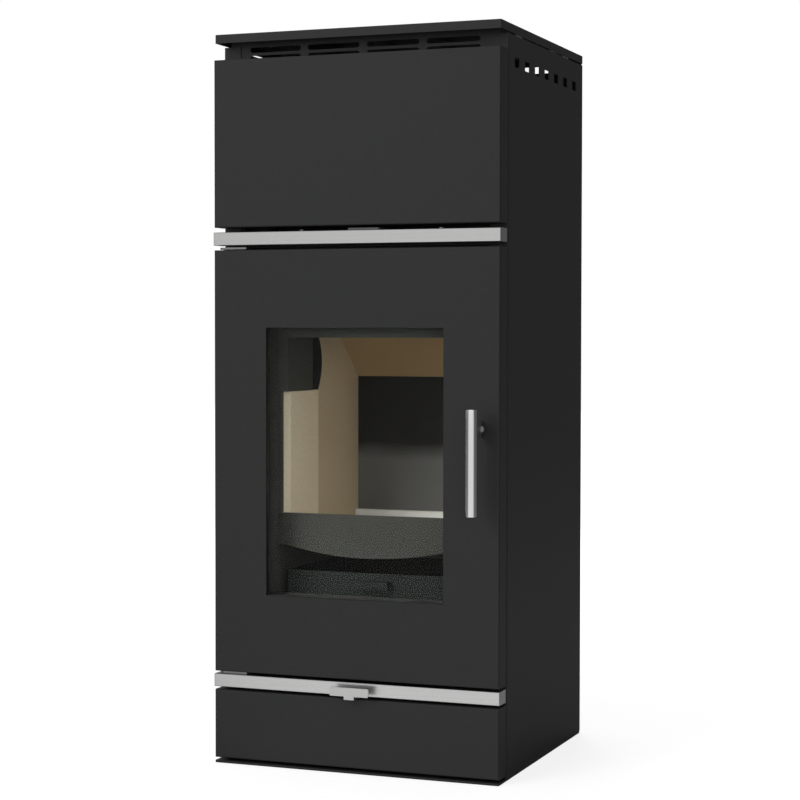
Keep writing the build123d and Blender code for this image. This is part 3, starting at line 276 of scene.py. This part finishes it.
guard_iron = cast("guard_iron_paint", (0.050, 0.0505, 0.046), (0.058, 0.0585, 0.053), 110.0, 0.00003)
brick_pale = vermiculite("front_brick_board", (0.97, 0.86, 0.67), (0.92, 0.79, 0.58), (0.70, 0.56, 0.34))
brick_tan = vermiculite("rear_brick_board", (0.74, 0.62, 0.43), (0.62, 0.51, 0.35), (0.48, 0.37, 0.22),
                        shade_z=shade_start)
baffle_board = vermiculite("baffle_board", (0.55, 0.39, 0.21), (0.46, 0.32, 0.17), (0.33, 0.22, 0.11))
hearth_stone = stone("hearth_fireclay", (0.94, 0.94, 0.93), (0.86, 0.86, 0.85))
glass = clear_glass("ceramic_glass")
rope_yarn = fibre("glass_fibre_rope", (0.05, 0.05, 0.048), (0.17, 0.17, 0.165), 900.0)
wool_board = fibre("mineral_wool", (0.42, 0.38, 0.27), (0.66, 0.61, 0.47), 320.0, 0.002)

finishes = {
    paint: ["left_side_panel", "right_side_panel", "top_plate", "upper_front_panel", "lower_front_panel",
            "door_panel", "front_grille", "base_plate", "flue_spigot", "air_inlet_pipe",
            "upper_cross_rail", "lower_cross_rail"],
    tab_painted_light: ["secondary_air_slide"],
    back_paint: ["rear_panel"],
    trim_steel: ["upper_trim_bar", "lower_trim_bar"],
    lever_steel: ["primary_air_slide", "handle_lug"],
    bar_steel: ["handle_bar"],
    plain_steel: ["handle_shaft", "latch_hook", "latch_catch", "handle_bearing", "water_nipples",
                  "sensor_socket", "safety_coil", "exchanger_tubes", "door_hinge_blocks",
                  "hinge_pins"],
    zinc: ["levelling_screws", "hexagon_bolts", "slide_pins", "door_frame_screws", "hinge_washer",
           "top_brackets"],
    boiler_paint: ["water_jacket", "smoke_box", "boiler_legs", "cleaning_cover", "air_box"],
    heat_paint: ["hearth_support", "firebox_shell", "front_plate", "airwash_duct"],
    iron: ["grate", "door_frame"],
    back_iron: ["rear_plate"],
    ash_sheet: ["ash_pan"],
    guard_iron: ["log_guard"],
    brick_pale: ["left_front_brick", "right_front_brick"],
    brick_tan: ["left_rear_brick", "right_rear_brick"],
    baffle_board: ["baffle_plate"],
    hearth_stone: ["hearth_slab"],
    glass: ["door_glass"],
    rope_yarn: ["door_seal", "glass_seal", "cover_gasket"],
    wool_board: ["side_insulation"],
}
for material, names in finishes.items():
    for name in names:
        slots = nodes[name].data.materials
        slots.clear()
        slots.append(material)
nodes["door_glass"].visible_shadow = False


# Soft pieces: seals of plaited rope and tape, and the wool boards

def loop_seal(name, node, section, strands, twist, yarn, body, flat_axis):
    """A plaited seal that follows the rectangular ring of a CAD node and fills its section."""
    low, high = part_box(node)
    mid = (low + high) / 2
    half = (high - low) / 2
    side_w, side_h = section
    axes = [i for i in range(3) if i != flat_axis]
    corner = side_w * 0.9
    reach = [half[axes[0]] - side_w / 2, half[axes[1]] - side_w / 2]
    outline = []
    for sx, sy, start in ((1, 1, 0), (-1, 1, 90), (-1, -1, 180), (1, -1, 270)):
        for step in range(7):
            angle = math.radians(start + 15 * step)
            outline.append(Vector((sx * (reach[0] - corner) + corner * math.cos(angle),
                                   sy * (reach[1] - corner) + corner * math.sin(angle))))
    path = []
    for index, point in enumerate(outline):
        after = outline[(index + 1) % len(outline)]
        count = max(1, round((after - point).length / yarn))
        path += [point.lerp(after, k / count) for k in range(count)]
    curve = bpy.data.curves.new(name, "CURVE")
    curve.dimensions = "3D"
    strand_r = min(side_w, side_h) * 0.27
    curve.bevel_depth = strand_r
    curve.bevel_resolution = 1
    turns = max(1, round(len(path) / twist))
    for strand in range(strands):
        spline = curve.splines.new("POLY")
        spline.points.add(len(path) - 1)
        spline.use_cyclic_u = True
        for index, point in enumerate(path):
            before = path[index - 1]
            after = path[(index + 1) % len(path)]
            ahead = (after - before).normalized()
            across = Vector((ahead.y, -ahead.x))
            phase = 2 * math.pi * (turns * index / len(path) + strand / strands)
            out = (side_w / 2 - strand_r) * math.cos(phase)
            rise = (side_h / 2 - strand_r) * math.sin(phase)
            place = mid.copy()
            place[axes[0]] += point.x + across.x * out
            place[axes[1]] += point.y + across.y * out
            place[flat_axis] += rise
            spline.points[index].co = (*place, 1)
    seal = bpy.data.objects.new(name, curve)
    scene.collection.objects.link(seal)
    curve.materials.append(rope_yarn)
    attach(seal, body)
    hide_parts(node)


def wool_piece(name, low, high):
    """A board of mineral wool with soft edges and an uneven face."""
    grid = 0.014
    rounding = 0.006
    steps = [max(2, round((high[i] - low[i]) / grid)) for i in range(3)]
    steps[0] = 2
    verts = {}
    faces = []

    def vert(i, j, k):
        key = (i, j, k)
        if key not in verts:
            share = Vector((i / steps[0], j / steps[1], k / steps[2]))
            point = Vector([low[a] + (high[a] - low[a]) * share[a] for a in range(3)])
            verts[key] = (len(verts), point)
        return verts[key][0]

    for axis in range(3):
        u, v = [a for a in range(3) if a != axis]
        for end in (0, steps[axis]):
            for a in range(steps[u]):
                for b in range(steps[v]):
                    corners = []
                    for da, db in ((0, 0), (1, 0), (1, 1), (0, 1)):
                        key = [0, 0, 0]
                        key[axis], key[u], key[v] = end, a + da, b + db
                        corners.append(vert(*key))
                    faces.append(corners if end else corners[::-1])
    centre = [(low[a] + high[a]) / 2 for a in range(3)]
    points = []
    for _, point in verts.values():
        sag = 0.0012 * (1 + math.sin(point.y * 90 + point.z * 37)) + 0.001 * random.random()
        moved = point.copy()
        moved.x += (centre[0] - point.x) / (high[0] - low[0]) * 2 * sag
        moved.y += (centre[1] - point.y) / (high[1] - low[1]) * rounding
        moved.z += (centre[2] - point.z) / (high[2] - low[2]) * rounding
        points.append(moved)
    mesh = bpy.data.meshes.new(name)
    mesh.from_pydata(points, [], faces)
    mesh.polygons.foreach_set("use_smooth", [True] * len(mesh.polygons))
    mesh.materials.append(wool_board)
    board = bpy.data.objects.new(name, mesh)
    scene.collection.objects.link(board)
    soften = board.modifiers.new("soften", "SUBSURF")
    soften.levels = 1
    soften.render_levels = 1
    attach(board, "stove")
    return board


loop_seal("door_rope", "door_seal", (0.0100, 0.0135), 3, 9.0, 0.0045, "door", 1)
loop_seal("glass_tape", "glass_seal", (0.0095, 0.0020), 2, 6.0, 0.006, "door", 1)
loop_seal("cover_tape", "cover_gasket", (0.0135, 0.0020), 2, 6.0, 0.008, "stove", 2)

wool_low, wool_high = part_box("side_insulation")
wool_thick = 0.015
left_inner = Vector((wool_low.x + wool_thick, wool_high.y, wool_high.z))
right_inner = Vector((wool_high.x - wool_thick, wool_low.y, wool_low.z))
left_wool = wool_piece("left_wool_board", wool_low, left_inner)
right_wool = wool_piece("right_wool_board", right_inner, wool_high)
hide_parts("side_insulation")
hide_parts("side_insulation")


# Camera at the photograph's angle

photo_side = 800
focal_px = 2025.5
eye = (1.1852, -3.0999, 0.6827)
yaw, pitch, roll = (math.radians(a) for a in (-21.048, -1.909, 0.069))
ahead = Vector((math.sin(yaw) * math.cos(pitch), math.cos(yaw) * math.cos(pitch), math.sin(pitch)))
right = Vector((math.cos(yaw), -math.sin(yaw), 0))
above = right.cross(ahead)
turned_right = right * math.cos(roll) + above * math.sin(roll)
turned_above = above * math.cos(roll) - right * math.sin(roll)
lens = bpy.data.cameras.new("camera")
lens.sensor_width = 36.0
lens.lens = lens.sensor_width * focal_px / photo_side
lens.clip_start = 0.05
lens.clip_end = 60.0
camera = bpy.data.objects.new("camera", lens)
camera.matrix_world = Matrix((
    (turned_right.x, turned_above.x, -ahead.x, eye[0]),
    (turned_right.y, turned_above.y, -ahead.y, eye[1]),
    (turned_right.z, turned_above.z, -ahead.z, eye[2]),
    (0, 0, 0, 1),
))
scene.collection.objects.link(camera)
scene.camera = camera


# Studio: pale floor, white surround, soft lamps

def area_lamp(name, place, aim, size, watts):
    data = bpy.data.lights.new(name, "AREA")
    data.shape = "RECTANGLE"
    data.size, data.size_y = size
    data.energy = watts
    lamp = bpy.data.objects.new(name, data)
    lamp.location = place
    lamp.visible_glossy = False
    lamp.rotation_mode = "QUATERNION"
    lamp.rotation_quaternion = (Vector(aim) - Vector(place)).to_track_quat("-Z", "Y")
    scene.collection.objects.link(lamp)


area_lamp("key_lamp", (-1.6, -3.4, 1.9), (0, 0, 0.55), (1.8, 2.2), 60)
area_lamp("top_lamp", (0.2, -0.4, 3.4), (0, 0, 0.5), (2.4, 2.4), 26)
area_lamp("fill_lamp", (2.2, -3.2, 1.0), (0, -0.1, 0.5), (1.2, 1.8), 10)
area_lamp("rear_lamp", (-1.2, 3.2, 1.6), (0, 0.2, 0.6), (1.6, 1.6), 45)

floor_mesh = bpy.data.meshes.new("floor")
floor_half = 14.0
floor_mesh.from_pydata([(-floor_half, -floor_half, 0), (floor_half, -floor_half, 0),
                        (floor_half, floor_half, 0), (-floor_half, floor_half, 0)], [], [(0, 1, 2, 3)])
floor = bpy.data.objects.new("floor", floor_mesh)
floor.location = (0, 0, -0.0005)
scene.collection.objects.link(floor)
floor_look = Shader("pale_floor")
floor_look.set(Specular_IOR_Level=0.1)
floor_look.colour(floor_look.ramp(floor_look.noise(3.0), (0.3, 0.36), (0.7, 0.38)))
floor_look.rough(floor_look.ramp(floor_look.noise(8.0), (0.3, 0.8), (0.7, 0.9)))
seen = floor_look.node("ShaderNodeLightPath")
clean = floor_look.maths("LESS_THAN", seen.outputs["Diffuse Depth"], 0.5)
through = floor_look.maths("MULTIPLY", seen.outputs["Is Transmission Ray"], clean)
direct = floor_look.maths("MAXIMUM", seen.outputs["Is Camera Ray"], through)
# In reflections the floor is pale before the stove only, and dark to its sides
depth_step = floor_look.maths("ADD", floor_look.axis("Y"), 1.0)
front_share = floor_look.ramp(depth_step, (0.75, 0.62), (0.80, 0.03))
mirror = floor_look.maths("MULTIPLY", seen.outputs["Is Glossy Ray"], clean)
mirror = floor_look.maths("MULTIPLY", mirror, front_share)
forward = floor_look.maths("MULTIPLY", floor_look.axis("Y"), -1.0)
toward = floor_look.maths("ARCTAN2", floor_look.axis("X"), forward)
toward = floor_look.maths("MULTIPLY", floor_look.maths("ADD", toward, 2.0), 0.25)
band = floor_look.ramp(toward, (0.305, 0.12), (0.37, 1.0), (0.76, 1.0), (0.82, 0.12))
mirror = floor_look.maths("MULTIPLY", mirror, band)
glow = floor_look.node("ShaderNodeEmission")
away = floor_look.node("ShaderNodeVectorMath", operation="LENGTH")
floor_look.link(floor_look.place, away.inputs[0])
lit = floor_look.ramp(floor_look.maths("DIVIDE", away.outputs["Value"], 10.0), (0.08, 0.80), (0.35, 1.0))
lit = floor_look.maths("MULTIPLY", direct, lit)
floor_look.link(floor_look.maths("MAXIMUM", lit, mirror), glow.inputs["Strength"])
both = floor_look.node("ShaderNodeAddShader")
floor_look.link(floor_look.surface.outputs["BSDF"], both.inputs[0])
floor_look.link(glow.outputs["Emission"], both.inputs[1])
floor_look.link(both.outputs["Shader"], floor_look.output.inputs["Surface"])
floor_mesh.materials.append(floor_look.material)

world = bpy.data.worlds.new("studio")
world.use_nodes = True
scene.world = world
tree = world.node_tree
tree.nodes.clear()
out = tree.nodes.new("ShaderNodeOutputWorld")
sky = tree.nodes.new("ShaderNodeBackground")
tree.links.new(sky.outputs["Background"], out.inputs["Surface"])
path = tree.nodes.new("ShaderNodeLightPath")
direction = tree.nodes.new("ShaderNodeTexCoord")
split = tree.nodes.new("ShaderNodeSeparateXYZ")
tree.links.new(direction.outputs["Generated"], split.inputs[0])


def value(kind, a, b):
    made = tree.nodes.new("ShaderNodeMath")
    made.operation = kind
    for source, socket in zip((a, b), made.inputs):
        if isinstance(source, (int, float)):
            socket.default_value = source
        else:
            tree.links.new(source, socket)
    return made.outputs[0]


def fade(source, start, end, low=0.0, high=1.0):
    """low at start, high at end, smooth between."""
    made = tree.nodes.new("ShaderNodeMapRange")
    made.interpolation_type = "SMOOTHSTEP"
    for name, number in (("From Min", start), ("From Max", end), ("To Min", low), ("To Max", high)):
        made.inputs[name].default_value = number
    tree.links.new(source, made.inputs["Value"])
    return made.outputs["Result"]


# The key lamp stands at the left, so the surround is darker to the right of the stove
left_share = fade(split.outputs["X"], 0.30, -0.10, 0.06, 0.80)
ambient = value("ADD", value("MULTIPLY", left_share, 0.40), 0.07)

# Polished parts mirror a pale screen that stands before the stove, from dark sides
bearing = value("ARCTAN2", split.outputs["X"], value("MULTIPLY", split.outputs["Y"], -1.0))
screen = value("MULTIPLY", fade(bearing, -0.78, -0.52), fade(bearing, 1.30, 1.05))
screen = value("ADD", value("MULTIPLY", screen, 0.80), 0.10)
mirrored = value("MULTIPLY", screen, path.outputs["Is Glossy Ray"])
strength = value("MAXIMUM", ambient, mirrored)
strength = value("MAXIMUM", strength, path.outputs["Is Camera Ray"])
strength = value("MAXIMUM", strength, path.outputs["Is Transmission Ray"])
tree.links.new(strength, sky.inputs["Strength"])
sky.inputs["Color"].default_value = (1, 1, 1, 1)

scene.view_settings.view_transform = "Standard"
